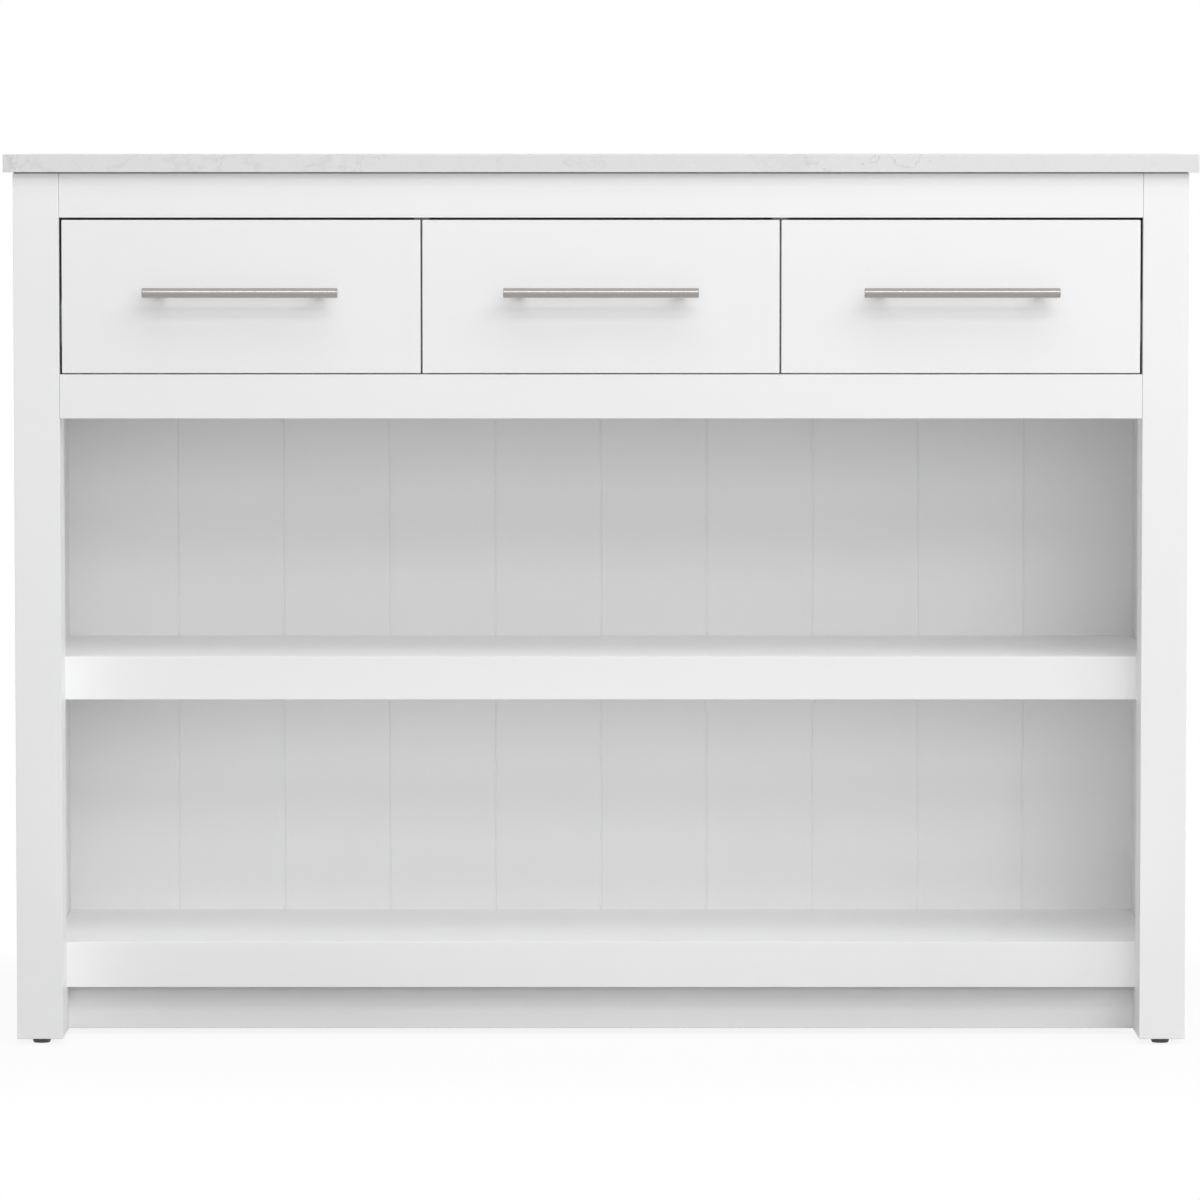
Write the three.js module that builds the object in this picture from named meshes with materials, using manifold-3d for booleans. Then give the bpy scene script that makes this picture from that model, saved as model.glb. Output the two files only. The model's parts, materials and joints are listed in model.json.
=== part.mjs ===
// Kitchen island unit: a painted frame carcass with three inset drawers on telescopic runners,
// two open bays with a tongue-and-groove look back panel, and an engineered-stone worktop.
//
// Millimetres, +Z up. The origin is the centre of the footprint, on the floor. The drawers face -Y.
// Depths across the carcass are written from the front faces of the posts: depth 0 is that plane.

import * as THREE from 'three';
import { mergeVertices } from 'three/addons/utils/BufferGeometryUtils.js';
import Module from 'manifold-3d';

const wasm = await Module();
wasm.setup();

// ---- driving dimensions ----------------------------------------------------------------------

const TOTAL_HEIGHT = 900;
const CARCASS_WIDTH = 1182;
const CARCASS_DEPTH = 430;
const HANDLE_REACH = 35; // how far the handles stand in front of the posts

const WORKTOP_THICK = 18;
const WORKTOP_SIDE_OVERHANG = 9;
const WORKTOP_END_OVERHANG = 10; // in front and behind
const BEDDING_THICK = 1;
const BEDDING_WIDTH = 12;
const BEDDING_INSET = 1; // from the carcass's faces

const POST_WIDTH = 46;
const POST_DEPTH = 60;
const GLIDE_HEIGHT = 6;
const GLIDE_TOP_DIAMETER = 20;
const GLIDE_FOOT_DIAMETER = 17;
const GLIDE_SIDES = 32;
const GLIDE_INSET = 24; // centre of a glide from the nearest front or rear face

const RAIL_HEIGHT = 44.5;
const RAIL_THICK = 22;
const DRAWER_RAIL_BOTTOM = 634.5;
const DECK_THICK = 18;
const PARTITION_THICK = 16;
const PARTITION_CENTRE = 180.5; // the gap between two drawer fronts

const SIDE_PANEL_THICK = 18;
const SIDE_PANEL_INSET = 9; // from the posts' outer faces
const SIDE_BOTTOM_RAIL_HEIGHT = 45.5;

const BACK_PANEL_THICK = 9;
const BACK_PANEL_FRONT = 361;
const BACK_BOARD_PITCH = 112;
const GROOVE_WIDTH = 2.4;
const GROOVE_DEPTH = 1.2;
const BACK_BOTTOM_RAIL_HEIGHT = 92;

const SHELF_RAIL_FRONT = 60;
const SHELF_RAIL_THICK = 18;
const SHELF_BOARD_THICK = 18;
const MID_SHELF_TOP = 390;
const MID_SHELF_RAIL_HEIGHT = 44;
const BOTTOM_SHELF_TOP = 98;
const BOTTOM_SHELF_RAIL_HEIGHT = 46.5;
const PLINTH_FRONT = 88;
const PLINTH_THICK = 16;

const FRONT_HEIGHT = 154;
const FRONT_THICK = 18;
const FRONT_GAP_BELOW = 1.2;
const FRONT_GAP_BETWEEN = 2;
const FRONT_GAP_BESIDE = 2.75; // to the posts

const HANDLE_LENGTH = 196;
const HANDLE_DIAMETER = 10;
const HANDLE_HEIGHT = 761.5;
const STANDOFF_DIAMETER = 8;
const STANDOFF_SPACING = 160;
const HANDLE_SIDES = 32;

const RUNNER_LENGTH = 300;
const RUNNER_FRONT = 24;
const RUNNER_HEIGHT = 45;
const RUNNER_CENTRE = 730;
const RUNNER_SHEET = 1.5;
const RUNNER_SPACE = 13; // on each side of a drawer box
const RUNNER_GAP = 0.5; // between one member and the next
const CABINET_MEMBER_DEPTH = 9.5;
const MIDDLE_MEMBER_DEPTH = 9;
const DRAWER_MEMBER_DEPTH = 9;

const BOX_DEPTH = 320;
const BOX_BOTTOM = 692;
const BOX_TOP = 800;
const BOX_SIDE_THICK = 12;
const BOX_FOOT_WIDTH = 12; // the inward flange that the bottom board lies on
const BOX_SHEET = 1.5;
const BOX_BOARD_THICK = 12;
const BOX_BACK_THICK = 16;

const OVERLAP = 1; // how far joined and cutting bodies run into the body they work on

// ---- places worked out from them -------------------------------------------------------------

const HALF_WIDTH = CARCASS_WIDTH / 2;
const HALF_OPENING = HALF_WIDTH - POST_WIDTH; // between the posts
const PANEL_OUTER = HALF_WIDTH - SIDE_PANEL_INSET;
const PANEL_INNER = PANEL_OUTER - SIDE_PANEL_THICK;
const TOTAL_DEPTH = HANDLE_REACH + CARCASS_DEPTH + WORKTOP_END_OVERHANG;
const POST_FRONT_Y = HANDLE_REACH - TOTAL_DEPTH / 2;
const CARCASS_TOP = TOTAL_HEIGHT - WORKTOP_THICK - BEDDING_THICK;
const TOP_RAIL_BOTTOM = CARCASS_TOP - RAIL_HEIGHT;
const DECK_TOP = DRAWER_RAIL_BOTTOM + RAIL_HEIGHT;
const SIDE_RAIL_TOP = GLIDE_HEIGHT + SIDE_BOTTOM_RAIL_HEIGHT;
const BACK_PANEL_REAR = BACK_PANEL_FRONT + BACK_PANEL_THICK;
const SHELF_BOARD_FRONT = SHELF_RAIL_FRONT + SHELF_RAIL_THICK;
const POST_CENTRE_X = HALF_WIDTH - POST_WIDTH / 2;

// ---- materials -------------------------------------------------------------------------------

function finish(color, roughness, metalness) {
  return new THREE.MeshStandardMaterial({ color, roughness, metalness });
}

const paint = finish(0xf2f2f3, 0.42, 0);
const boxPaint = finish(0xe4e4e6, 0.5, 0);
const stone = finish(0xe9e8e6, 0.25, 0);
const steel = finish(0xb4aea8, 0.32, 1);
const zincSteel = finish(0xc6c9cc, 0.35, 1);
const greySteel = finish(0xd2d4d6, 0.45, 0.6);
const darkPlastic = finish(0x4a4b4d, 0.6, 0);
const sealant = finish(0x8e8f90, 0.8, 0);

// ---- shapes ----------------------------------------------------------------------------------

const unit = new THREE.Group();

function place(name, geometry, material) {
  const mesh = new THREE.Mesh(geometry, material);
  mesh.name = name;
  unit.add(mesh);
  return mesh;
}

// A block from lowest and highest x, depth behind the posts' front plane, and z.
function block([x0, x1], [depth0, depth1], [z0, z1]) {
  const geometry = new THREE.BoxGeometry(x1 - x0, depth1 - depth0, z1 - z0);
  return geometry.translate((x0 + x1) / 2, POST_FRONT_Y + (depth0 + depth1) / 2, (z0 + z1) / 2);
}

// The same block on the right (side 1) or mirrored to the left (side -1).
function sideBlock(side, [inner, outer], depths, heights) {
  const xs = side > 0 ? [inner, outer] : [-outer, -inner];
  return block(xs, depths, heights);
}

// An outline in plan, as [x, depth] points, raised from z0 to z1.
function raised(points, [z0, z1]) {
  const outline = new THREE.Shape(points.map(([x, depth]) => new THREE.Vector2(x, depth)));
  const geometry = new THREE.ExtrudeGeometry(outline, { depth: z1 - z0, bevelEnabled: false });
  return geometry.translate(0, POST_FRONT_Y, z0);
}

// A section seen from the front, as [x, z] points, run from one depth to another.
function run(points, [depth0, depth1]) {
  const outline = new THREE.Shape(points.map(([x, z]) => new THREE.Vector2(x, z)));
  const geometry = new THREE.ExtrudeGeometry(outline, { depth: depth1 - depth0, bevelEnabled: false });
  const toUpright = new THREE.Matrix4().set(1, 0, 0, 0, 0, 0, -1, 0, 0, 1, 0, 0, 0, 0, 0, 1);
  return geometry.applyMatrix4(toUpright).translate(0, POST_FRONT_Y + depth1, 0);
}

function toSolid(geometry) {
  const bare = geometry.clone();
  bare.deleteAttribute('normal');
  bare.deleteAttribute('uv');
  const merged = mergeVertices(bare);
  const vertProperties = merged.getAttribute('position').array;
  const triVerts = new Uint32Array(merged.getIndex().array);
  return new wasm.Manifold(new wasm.Mesh({ numProp: 3, vertProperties, triVerts }));
}

function toGeometry(solid) {
  const mesh = solid.getMesh();
  const geometry = new THREE.BufferGeometry();
  geometry.setAttribute('position', new THREE.BufferAttribute(mesh.vertProperties, 3));
  geometry.setIndex(new THREE.BufferAttribute(mesh.triVerts, 1));
  geometry.computeVertexNormals();
  return geometry;
}

function joined(...geometries) {
  return toGeometry(geometries.map(toSolid).reduce((whole, part) => whole.add(part)));
}

function cut(geometry, ...cutters) {
  return toGeometry(cutters.map(toSolid).reduce((left, tool) => left.subtract(tool), toSolid(geometry)));
}

// ---- worktop ---------------------------------------------------------------------------------

function addWorktop() {
  const halfWidth = HALF_WIDTH + WORKTOP_SIDE_OVERHANG;
  const depths = [-WORKTOP_END_OVERHANG, CARCASS_DEPTH + WORKTOP_END_OVERHANG];
  const heights = [TOTAL_HEIGHT - WORKTOP_THICK, TOTAL_HEIGHT];
  place('worktop', block([-halfWidth, halfWidth], depths, heights), stone);

  // A continuous bead of bedding sealant on the tops of the carcass's rails.
  const x = HALF_WIDTH - BEDDING_INSET;
  const front = BEDDING_INSET;
  const rear = BACK_PANEL_REAR + RAIL_THICK - BEDDING_INSET;
  const bead = [CARCASS_TOP, CARCASS_TOP + BEDDING_THICK];
  const ring = block([-x, x], [front, rear], bead);
  const inside = block(
    [-x + BEDDING_WIDTH, x - BEDDING_WIDTH],
    [front + BEDDING_WIDTH, rear - BEDDING_WIDTH],
    [bead[0] - OVERLAP, bead[1] + OVERLAP],
  );
  place('worktop_bedding', cut(ring, inside), sealant);
}

// ---- frame: posts, glides and rails ----------------------------------------------------------

const SIDES = [['left', -1], ['right', 1]];
const ENDS = [
  ['front', 0, GLIDE_INSET],
  ['rear', CARCASS_DEPTH - POST_DEPTH, CARCASS_DEPTH - GLIDE_INSET],
];

function addPostsAndGlides() {
  for (const [endName, postDepth, glideDepth] of ENDS) {
    for (const [sideName, side] of SIDES) {
      const depths = [postDepth, postDepth + POST_DEPTH];
      const post = sideBlock(side, [HALF_OPENING, HALF_WIDTH], depths, [GLIDE_HEIGHT, CARCASS_TOP]);
      place(`${endName}_${sideName}_post`, post, paint);

      const profile = [
        new THREE.Vector2(0, 0),
        new THREE.Vector2(GLIDE_FOOT_DIAMETER / 2, 0),
        new THREE.Vector2(GLIDE_TOP_DIAMETER / 2, GLIDE_HEIGHT),
        new THREE.Vector2(0, GLIDE_HEIGHT),
      ];
      const glide = new THREE.LatheGeometry(profile, GLIDE_SIDES).rotateX(Math.PI / 2);
      const mesh = place(`${endName}_${sideName}_glide`, glide, darkPlastic);
      mesh.position.set(side * POST_CENTRE_X, POST_FRONT_Y + glideDepth, 0);
    }
  }
}

function addFrontRails() {
  const across = [-HALF_OPENING, HALF_OPENING];
  const depths = [0, RAIL_THICK];
  place('front_top_rail', block(across, depths, [TOP_RAIL_BOTTOM, CARCASS_TOP]), paint);
  place('drawer_rail', block(across, depths, [DRAWER_RAIL_BOTTOM, DECK_TOP]), paint);
}

function addSides() {
  const between = [POST_DEPTH, CARCASS_DEPTH - POST_DEPTH];
  for (const [sideName, side] of SIDES) {
    const panel = sideBlock(side, [PANEL_INNER, PANEL_OUTER], between, [SIDE_RAIL_TOP, TOP_RAIL_BOTTOM]);
    place(`${sideName}_side_panel`, panel, paint);

    const bottomRail = sideBlock(side, [HALF_OPENING, HALF_WIDTH], between, [GLIDE_HEIGHT, SIDE_RAIL_TOP]);
    place(`${sideName}_bottom_rail`, bottomRail, paint);

    // The top rail carries a packer that brings the runners flush with the posts' inner faces.
    const section = [
      [HALF_WIDTH, CARCASS_TOP],
      [HALF_OPENING, CARCASS_TOP],
      [HALF_OPENING, DECK_TOP],
      [PANEL_INNER, DECK_TOP],
      [PANEL_INNER, TOP_RAIL_BOTTOM],
      [HALF_WIDTH, TOP_RAIL_BOTTOM],
    ].map(([x, z]) => [side * x, z]);
    const backPanelRoom = sideBlock(
      side,
      [HALF_OPENING - OVERLAP, PANEL_INNER],
      [BACK_PANEL_FRONT, CARCASS_DEPTH],
      [DECK_TOP - OVERLAP, CARCASS_TOP + OVERLAP],
    );
    place(`${sideName}_top_rail`, cut(run(section, between), backPanelRoom), paint);
  }
}

// ---- drawer deck and partitions --------------------------------------------------------------

function addDrawerDeck() {
  const outline = [
    [-HALF_OPENING, RAIL_THICK],
    [HALF_OPENING, RAIL_THICK],
    [HALF_OPENING, POST_DEPTH],
    [PANEL_INNER, POST_DEPTH],
    [PANEL_INNER, BACK_PANEL_FRONT],
    [-PANEL_INNER, BACK_PANEL_FRONT],
    [-PANEL_INNER, POST_DEPTH],
    [-HALF_OPENING, POST_DEPTH],
  ];
  place('drawer_deck', raised(outline, [DECK_TOP - DECK_THICK, DECK_TOP]), paint);

  for (const [sideName, side] of SIDES) {
    const xs = [PARTITION_CENTRE - PARTITION_THICK / 2, PARTITION_CENTRE + PARTITION_THICK / 2];
    const partition = sideBlock(side, xs, [RAIL_THICK, BACK_PANEL_FRONT], [DECK_TOP, CARCASS_TOP]);
    place(`${sideName}_partition`, partition, paint);
  }
}

// ---- shelves, plinth and back ----------------------------------------------------------------

function addShelf(name, top, railHeight) {
  const across = [-PANEL_INNER, PANEL_INNER];
  const boardDepths = [SHELF_BOARD_FRONT, BACK_PANEL_FRONT];
  place(`${name}_board`, block(across, boardDepths, [top - SHELF_BOARD_THICK, top]), paint);
  const railDepths = [SHELF_RAIL_FRONT, SHELF_BOARD_FRONT];
  place(`${name}_front_rail`, block(across, railDepths, [top - railHeight, top]), paint);
}

function addPlinth() {
  const depths = [PLINTH_FRONT, PLINTH_FRONT + PLINTH_THICK];
  const heights = [GLIDE_HEIGHT, BOTTOM_SHELF_TOP - SHELF_BOARD_THICK];
  place('plinth', block([-HALF_OPENING, HALF_OPENING], depths, heights), paint);
}

function addBack() {
  // V-grooves at every board joint, on both faces, from the panel's centre line outwards.
  const grooveCount = 2 * Math.floor(PANEL_INNER / BACK_BOARD_PITCH) - 1;
  const grooves = [];
  for (let i = 0; i < grooveCount; i += 1) {
    grooves.push((i - (grooveCount - 1) / 2) * BACK_BOARD_PITCH);
  }
  const half = GROOVE_WIDTH / 2;
  const front = grooves.flatMap((x) => [
    [x - half, BACK_PANEL_FRONT],
    [x, BACK_PANEL_FRONT + GROOVE_DEPTH],
    [x + half, BACK_PANEL_FRONT],
  ]);
  const rear = grooves.reverse().flatMap((x) => [
    [x + half, BACK_PANEL_REAR],
    [x, BACK_PANEL_REAR - GROOVE_DEPTH],
    [x - half, BACK_PANEL_REAR],
  ]);
  const outline = [
    [-PANEL_INNER, BACK_PANEL_FRONT],
    ...front,
    [PANEL_INNER, BACK_PANEL_FRONT],
    [PANEL_INNER, BACK_PANEL_REAR],
    ...rear,
    [-PANEL_INNER, BACK_PANEL_REAR],
  ];
  place('back_panel', raised(outline, [SIDE_RAIL_TOP, CARCASS_TOP]), paint);

  const across = [-HALF_OPENING, HALF_OPENING];
  const depths = [BACK_PANEL_REAR, BACK_PANEL_REAR + RAIL_THICK];
  place('back_top_rail', block(across, depths, [TOP_RAIL_BOTTOM, CARCASS_TOP]), paint);
  const bottomHeights = [GLIDE_HEIGHT, GLIDE_HEIGHT + BACK_BOTTOM_RAIL_HEIGHT];
  place('back_bottom_rail', block(across, depths, bottomHeights), paint);
}

// ---- runners ---------------------------------------------------------------------------------

// A channel open towards the drawer. `face` is the x of its outer web face and `side` points from
// the drawer to that face.
function channel(face, side, depth, height) {
  const top = RUNNER_CENTRE + height / 2;
  const bottom = RUNNER_CENTRE - height / 2;
  const lip = face - side * depth;
  const web = face - side * RUNNER_SHEET;
  const section = [
    [face, bottom],
    [face, top],
    [lip, top],
    [lip, top - RUNNER_SHEET],
    [web, top - RUNNER_SHEET],
    [web, bottom + RUNNER_SHEET],
    [lip, bottom + RUNNER_SHEET],
    [lip, bottom],
  ];
  return run(section, [RUNNER_FRONT, RUNNER_FRONT + RUNNER_LENGTH]);
}

const STEP_IN = RUNNER_SHEET + RUNNER_GAP; // from one member's outer face to the next one's
const MIDDLE_MEMBER_HEIGHT = RUNNER_HEIGHT - 2 * STEP_IN;
const DRAWER_MEMBER_HEIGHT = MIDDLE_MEMBER_HEIGHT - 2 * STEP_IN;

function addRunners(name, face, side, sideName) {
  const cabinetMember = channel(face, side, CABINET_MEMBER_DEPTH, RUNNER_HEIGHT);
  place(`${name}_${sideName}_runner_cabinet_member`, cabinetMember, zincSteel);
  const middleFace = face - side * STEP_IN;
  const middleMember = channel(middleFace, side, MIDDLE_MEMBER_DEPTH, MIDDLE_MEMBER_HEIGHT);
  place(`${name}_${sideName}_runner_middle_member`, middleMember, zincSteel);
}

// ---- drawers ---------------------------------------------------------------------------------

// A folded steel side with an inward foot under the bottom board. The runner's drawer member, two
// tracks that face outwards, is part of it.
function drawerSide(outer, side) {
  const inner = outer - side * BOX_SIDE_THICK;
  const toe = inner - side * BOX_FOOT_WIDTH;
  const footTop = BOX_BOTTOM + BOX_SHEET;
  const wall = run(
    [
      [outer, BOX_BOTTOM],
      [outer, BOX_TOP],
      [inner, BOX_TOP],
      [inner, footTop],
      [toe, footTop],
      [toe, BOX_BOTTOM],
    ],
    [FRONT_THICK, FRONT_THICK + BOX_DEPTH],
  );
  const trackTop = RUNNER_CENTRE + DRAWER_MEMBER_HEIGHT / 2;
  const trackBottom = RUNNER_CENTRE - DRAWER_MEMBER_HEIGHT / 2;
  const root = outer - side * OVERLAP;
  const lip = outer + side * DRAWER_MEMBER_DEPTH;
  const tracks = [trackTop - RUNNER_SHEET, trackBottom].map((z) => {
    const section = [
      [root, z],
      [root, z + RUNNER_SHEET],
      [lip, z + RUNNER_SHEET],
      [lip, z],
    ];
    return run(section, [RUNNER_FRONT, RUNNER_FRONT + RUNNER_LENGTH]);
  });
  return joined(wall, ...tracks);
}

function handle(centre) {
  const radius = HANDLE_DIAMETER / 2;
  const barDepth = radius - HANDLE_REACH;
  const bar = new THREE.CylinderGeometry(radius, radius, HANDLE_LENGTH, HANDLE_SIDES)
    .rotateZ(Math.PI / 2)
    .translate(centre, POST_FRONT_Y + barDepth, HANDLE_HEIGHT);
  const legRadius = STANDOFF_DIAMETER / 2;
  const legs = [-1, 1].map((end) => new THREE.CylinderGeometry(legRadius, legRadius, -barDepth, HANDLE_SIDES)
    .translate(centre + (end * STANDOFF_SPACING) / 2, POST_FRONT_Y + barDepth / 2, HANDLE_HEIGHT));
  return joined(bar, ...legs);
}

// A drawer from the left and right edges of its front and of the space behind it.
function addDrawer(name, [frontLeft, frontRight], [spaceLeft, spaceRight]) {
  const frontBottom = DECK_TOP + FRONT_GAP_BELOW;
  const frontHeights = [frontBottom, frontBottom + FRONT_HEIGHT];
  place(`${name}_front`, block([frontLeft, frontRight], [0, FRONT_THICK], frontHeights), paint);
  place(`${name}_handle`, handle((frontLeft + frontRight) / 2), steel);

  addRunners(name, spaceLeft, -1, 'left');
  addRunners(name, spaceRight, 1, 'right');

  const boxLeft = spaceLeft + RUNNER_SPACE;
  const boxRight = spaceRight - RUNNER_SPACE;
  place(`${name}_left_side`, drawerSide(boxLeft, -1), greySteel);
  place(`${name}_right_side`, drawerSide(boxRight, 1), greySteel);

  const between = [boxLeft + BOX_SIDE_THICK, boxRight - BOX_SIDE_THICK];
  const boardBottom = BOX_BOTTOM + BOX_SHEET;
  const boardTop = boardBottom + BOX_BOARD_THICK;
  const boxRear = FRONT_THICK + BOX_DEPTH;
  place(`${name}_bottom`, block(between, [FRONT_THICK, boxRear], [boardBottom, boardTop]), boxPaint);
  place(`${name}_back`, block(between, [boxRear - BOX_BACK_THICK, boxRear], [boardTop, BOX_TOP]), boxPaint);
}

function addDrawers() {
  const middleEdge = PARTITION_CENTRE - FRONT_GAP_BETWEEN / 2;
  const innerEdge = PARTITION_CENTRE + FRONT_GAP_BETWEEN / 2;
  const outerEdge = HALF_OPENING - FRONT_GAP_BESIDE;
  const partitionInner = PARTITION_CENTRE - PARTITION_THICK / 2;
  const partitionOuter = PARTITION_CENTRE + PARTITION_THICK / 2;
  addDrawer('left_drawer', [-outerEdge, -innerEdge], [-HALF_OPENING, -partitionOuter]);
  addDrawer('middle_drawer', [-middleEdge, middleEdge], [-partitionInner, partitionInner]);
  addDrawer('right_drawer', [innerEdge, outerEdge], [partitionOuter, HALF_OPENING]);
}

addWorktop();
addPostsAndGlides();
addFrontRails();
addSides();
addDrawerDeck();
addDrawers();
addShelf('mid_shelf', MID_SHELF_TOP, MID_SHELF_RAIL_HEIGHT);
addShelf('bottom_shelf', BOTTOM_SHELF_TOP, BOTTOM_SHELF_RAIL_HEIGHT);
addPlinth();
addBack();

export default unit;
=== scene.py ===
"""Looks of the kitchen island unit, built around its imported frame.

Metres, +Z up, the drawers facing -Y. Boards keep their CAD solids and get eased edges as modifiers.
Handles, glides, runners and drawer sides are modelled again in finer detail, in the same places.
"""

import json
import math

import bmesh
import bpy
from mathutils import Matrix, Vector


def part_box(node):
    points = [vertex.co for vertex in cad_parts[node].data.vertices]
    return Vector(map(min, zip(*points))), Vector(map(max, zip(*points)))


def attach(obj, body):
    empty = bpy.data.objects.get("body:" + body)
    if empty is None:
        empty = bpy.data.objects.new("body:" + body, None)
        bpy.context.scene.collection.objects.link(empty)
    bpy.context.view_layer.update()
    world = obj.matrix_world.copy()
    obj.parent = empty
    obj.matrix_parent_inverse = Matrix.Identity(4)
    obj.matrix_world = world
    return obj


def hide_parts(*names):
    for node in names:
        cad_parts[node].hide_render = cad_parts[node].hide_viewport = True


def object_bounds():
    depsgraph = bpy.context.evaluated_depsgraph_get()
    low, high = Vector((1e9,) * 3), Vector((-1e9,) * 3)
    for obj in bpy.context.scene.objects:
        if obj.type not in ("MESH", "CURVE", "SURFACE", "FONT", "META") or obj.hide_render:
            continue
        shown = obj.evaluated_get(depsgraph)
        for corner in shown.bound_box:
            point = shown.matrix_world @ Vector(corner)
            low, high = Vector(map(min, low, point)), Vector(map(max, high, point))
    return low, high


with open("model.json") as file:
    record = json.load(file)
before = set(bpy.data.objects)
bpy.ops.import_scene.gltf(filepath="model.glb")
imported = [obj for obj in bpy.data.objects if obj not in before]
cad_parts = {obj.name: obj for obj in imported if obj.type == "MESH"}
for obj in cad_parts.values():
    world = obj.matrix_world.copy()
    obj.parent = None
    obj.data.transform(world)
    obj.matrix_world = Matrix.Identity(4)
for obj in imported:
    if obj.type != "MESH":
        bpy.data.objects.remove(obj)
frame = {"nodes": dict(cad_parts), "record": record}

CAD_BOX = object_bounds()
NODES = frame["nodes"]

# ---- driving values --------------------------------------------------------------------------

# The photograph: a product shot from 7 m in front of the posts. Its level camera and large lens
# shift become a slight downward tilt, which keeps the frame centred in other views.
CAMERA_DISTANCE = 7.0
CAMERA_HEIGHT = 0.9112
CAMERA_ASIDE = -0.0010
CAMERA_TILT = math.radians(3.757)
CAMERA_LENS = 208.7

SENSOR_WIDTH = 36.0
SHARP_ANGLE = 35  # edges bent by more than this are shaded sharp

DRAWERS = ("left_drawer", "middle_drawer", "right_drawer")
SIDES = (("left", -1), ("right", 1))
ENDS = ("front", "rear")

EASED_BOARD = 0.0006
EASED_FRONT = 0.0009
EASED_WORKTOP = 0.0008
EASED_PANEL = 0.0003
EASED_SHEET = 0.0003
EASED_BRACKET = 0.0002
HAIRLINE = 0.00025  # how far a rail's ends stay behind the post they butt against

BAR_RADIUS = 0.005
BAR_CHAMFER = 0.0006
LEG_RADIUS = 0.004
LEG_CHAMFER = 0.0003
LEG_SPACING = 0.160
WASHER_RADIUS = 0.0048
WASHER_THICK = 0.0009
WASHER_CHAMFER = 0.0002
GLIDE_FOOT_RADIUS = 0.0085
GLIDE_RIM = 0.0005  # the rounding at a glide's foot
GLIDE_NECK = 0.0006  # the straight part at a glide's top

HEAD_RADIUS = 0.0034
PAN_HEAD_HEIGHT = 0.0021
HOLE_TOOL = (-0.002, 0.004)  # how far a hole's cutting tool reaches to either side of a sheet

# Runner members of rolled sheet, nested with a running gap. Places along them are from the front.
# A section is height and depth. Openings come as their places, length and width.
RUNNER_LENGTH = 0.300
RUNNER_SHEET = 0.0012
RUNNER_BEND = 0.0018
LIP_ARCH = 0.0004
CABINET_SECTION = (0.045, 0.0095)
CABINET_SCREWS = (0.037, 0.114, 0.262)
CABINET_OPENINGS = ((CABINET_SCREWS, 0.0072, 0.0072), ((0.062, 0.166, 0.226), 0.011, 0.0045))
MIDDLE_SECTION = (0.041, 0.009)
MIDDLE_OPENINGS = (((0.070, 0.150, 0.230), 0.034, 0.009), ((0.020, 0.280), 0.004, 0.004))
DRAWER_SECTION = (0.037, 0.009)
DRAWER_OPENINGS = (((0.022, 0.100, 0.285), 0.012, 0.005),)
DRAWER_MEMBER_SCREWS = (0.055, 0.150, 0.262)
DRAWER_MEMBER_REACH = 0.009
LEVER_LENGTH = 0.072
LEVER_START = 0.172

# Folded drawer sides. A ramp is the profile at either end of a pressed panel, as (depth, way in).
BOX_SIDE_THICK = 0.012
BOX_FOOT_TOE = 0.024
BOX_SHEET = 0.0015
BOX_ROUNDING = 0.0025
OUTER_PANEL = (0.7600, 0.7870)
OUTER_RAMP = ((0.0, 0.0), (0.0003, 0.0012), (0.0011, 0.0028), (0.0012, 0.0040))
INNER_PANEL = (0.7110, 0.7850)
INNER_RAMP = ((0.0, 0.0), (0.0003, 0.0012), (0.0013, 0.0028), (0.0016, 0.0045))

BRACKET_THICK = 0.0015
BRACKET_BEND = 0.0018
BRACKET_WIDE = 0.0300  # along the drawer front
BRACKET_LONG = 0.0280  # along the drawer side
BRACKET_HEIGHTS = (0.7260, 0.7700)
BRACKET_SCREW_HEIGHTS = (0.736, 0.760)
BRACKET_SCREW_ASIDE = 0.0225
BRACKET_SCREW_HOLE = 0.0036
BACK_SCREW_HEIGHTS = (0.720, 0.740)
BACK_SCREW_INSET = 0.008

# Lamps aim at a target. Their place is azimuth and elevation in degrees and the distance, as seen
# from it; then come width and height, watts, and whatever differs from add_softbox's usual values.
# The kicker and the two bay lamps are weak fills for the even light inside the open bays.
STUDIO_TARGET = (0.0, -0.2, 0.45)
HANDLES_TARGET = (0.0, -0.2, 0.76)
LOWER_BAY_TARGET = (0.0, 0.02, 0.32)
MID_SHELF_TARGET = (0.0, -0.1675, 0.39)
LOW_SHELF_TARGET = (0.0, -0.1125, 0.098)
FLOOR_REACH = 30.0
AMBIENT = 0.24
LAMPS = (
    ("strip", (7, 35, 4.8), (4.5, 0.45), 31.0, {"target": HANDLES_TARGET, "reflected": True}),
    ("front_low", (8, 9, 5.0), (3.0, 1.2), 40.0, {}),
    ("front_mid", (15, 25, 5.0), (3.0, 0.7), 29.0, {}),
    ("front_high", (15, 38, 5.0), (3.0, 2.0), 8.0, {}),
    ("top", (8, 61, 3.8), (3.5, 1.4), 27.0, {}),
    ("kicker", (0, -27, 0.64), (1.0, 0.05), 0.06, {"target": LOWER_BAY_TARGET, "angle": 40}),
    ("upper_bay", (0, 90, 0.265), (1.08, 0.02), 0.10, {"target": MID_SHELF_TARGET, "angle": 125}),
    ("lower_bay", (0, 90, 0.269), (1.12, 0.02), 0.065, {"target": LOW_SHELF_TARGET, "angle": 125}),
    ("right", (50, 35, 5.0), (2.0, 2.0), 34.0, {}),
    ("far_right", (82, 10, 4.0), (0.8, 2.0), 24.0, {}),
    ("far_left", (-82, 10, 4.0), (0.8, 2.0), 14.0, {}),
    ("rear_left", (212, 20, 5.3), (2.4, 2.0), 60.0, {}),
    ("rear_right", (144, 17, 5.0), (2.4, 2.0), 45.0, {}),
)


# ---- node helpers ----------------------------------------------------------------------------


def wire(tree, source, target):
    tree.links.new(source, target)


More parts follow.
